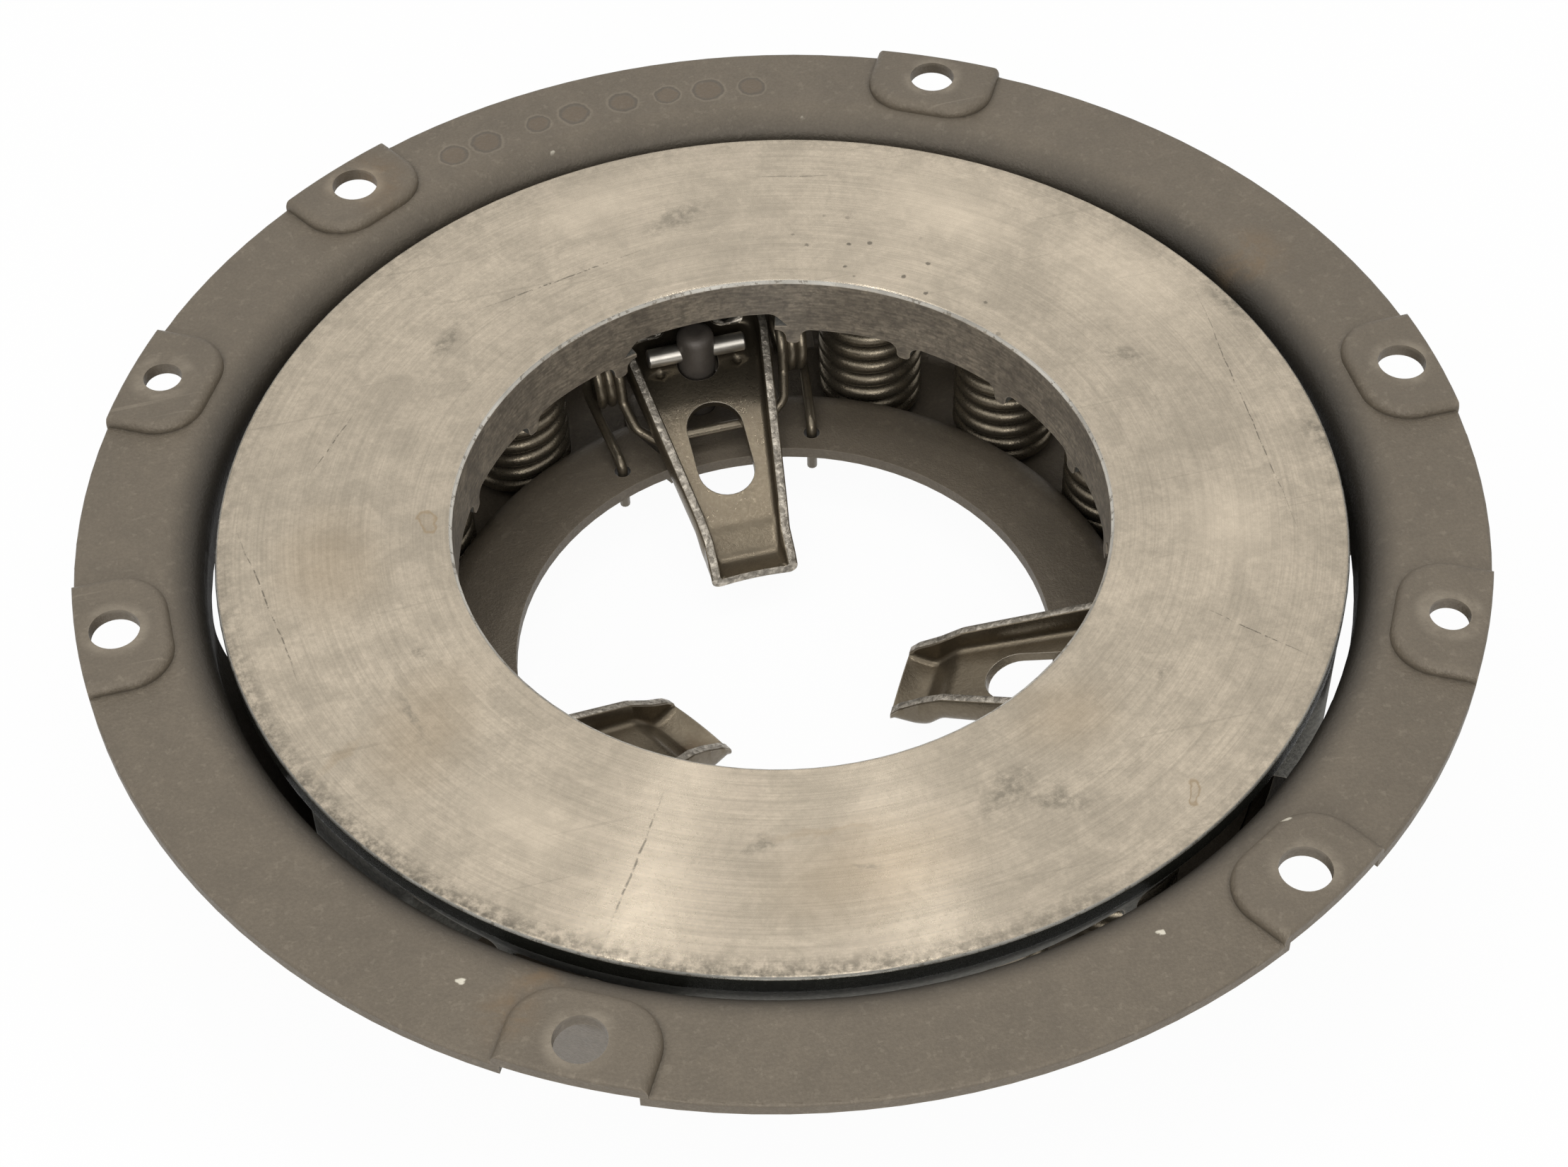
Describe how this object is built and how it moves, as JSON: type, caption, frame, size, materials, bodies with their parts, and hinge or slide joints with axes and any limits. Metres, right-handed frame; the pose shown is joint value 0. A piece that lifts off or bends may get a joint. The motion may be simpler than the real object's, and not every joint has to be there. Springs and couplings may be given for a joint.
{
  "type": "clutch pressure plate",
  "caption": "Lever type clutch cover with a flanged pressed cover, cast pressure ring, pivoting release levers and coil springs around a wide centre opening.",
  "frame": {"origin": "clutch axis at the plane of the mounting pads that bolt to the flywheel", "axes": "+Z along the clutch axis towards the flywheel; +Y through the first release lever"},
  "size_m": [0.2954, 0.2954, 0.0654],
  "materials": {
    "cover_steel": "matt pressed steel, phosphated and oiled",
    "ring_iron": "ground face, as cast back",
    "lever_steel": "oiled pressed steel",
    "eyebolt_steel": "dark phosphated steel",
    "pin_steel": "ground bright steel",
    "nut_steel": "dark oiled steel",
    "strut_steel": "plain steel",
    "wire_steel": "oiled spring wire",
    "spring_steel": "dark bronze oiled spring wire"
  },
  "bodies": {
    "cover": {"cover": "cover_steel", "lever_eyebolt_1": "eyebolt_steel", "fulcrum_pin_1": "pin_steel", "adjusting_nut_1": "nut_steel", "anti_rattle_spring_1": "wire_steel", "lever_eyebolt_2": "eyebolt_steel", "fulcrum_pin_2": "pin_steel", "adjusting_nut_2": "nut_steel", "anti_rattle_spring_2": "wire_steel", "lever_eyebolt_3": "eyebolt_steel", "fulcrum_pin_3": "pin_steel", "adjusting_nut_3": "nut_steel", "anti_rattle_spring_3": "wire_steel", "pressure_spring_01": "spring_steel", "pressure_spring_02": "spring_steel", "pressure_spring_03": "spring_steel", "pressure_spring_04": "spring_steel", "pressure_spring_05": "spring_steel", "pressure_spring_06": "spring_steel", "pressure_spring_07": "spring_steel", "pressure_spring_08": "spring_steel", "pressure_spring_09": "spring_steel", "pressure_spring_10": "spring_steel", "pressure_spring_11": "spring_steel", "pressure_spring_12": "spring_steel"},
    "pressure_ring": {"pressure_ring": "ring_iron", "lever_strut_1": "strut_steel", "lever_strut_2": "strut_steel", "lever_strut_3": "strut_steel"},
    "release_lever_1": {"release_lever_1": "lever_steel"},
    "release_lever_2": {"release_lever_2": "lever_steel"},
    "release_lever_3": {"release_lever_3": "lever_steel"}
  },
  "joints": [
    {"name": "ring_slide", "type": "slide", "parent": "cover", "child": "pressure_ring", "axis": [0, 0, 1], "range_m": [-0.0046, 0], "stiffness_N_per_m": 300000, "springref_m": 0.001, "deforming": ["pressure_spring_01", "pressure_spring_02", "pressure_spring_03", "pressure_spring_04", "pressure_spring_05", "pressure_spring_06", "pressure_spring_07", "pressure_spring_08", "pressure_spring_09", "pressure_spring_10", "pressure_spring_11", "pressure_spring_12"]},
    {"name": "lever_1_pivot", "type": "hinge", "parent": "cover", "child": "release_lever_1", "pos_m": [0, 0.0795, -0.0333], "axis": [-1, 0, 0], "range_deg": [0, 21.2]},
    {"name": "lever_2_pivot", "type": "hinge", "parent": "cover", "child": "release_lever_2", "pos_m": [-0.06885, -0.03975, -0.0333], "axis": [0.5, -0.866, 0], "range_deg": [0, 21.2]},
    {"name": "lever_3_pivot", "type": "hinge", "parent": "cover", "child": "release_lever_3", "pos_m": [0.06885, -0.03975, -0.0333], "axis": [0.5, 0.866, 0], "range_deg": [0, 21.2]}
  ],
  "couplings": [
    {"joint": "lever_1_pivot", "follows": "ring_slide", "rad_per_m": -80},
    {"joint": "lever_2_pivot", "follows": "ring_slide", "rad_per_m": -80},
    {"joint": "lever_3_pivot", "follows": "ring_slide", "rad_per_m": -80}
  ]
}
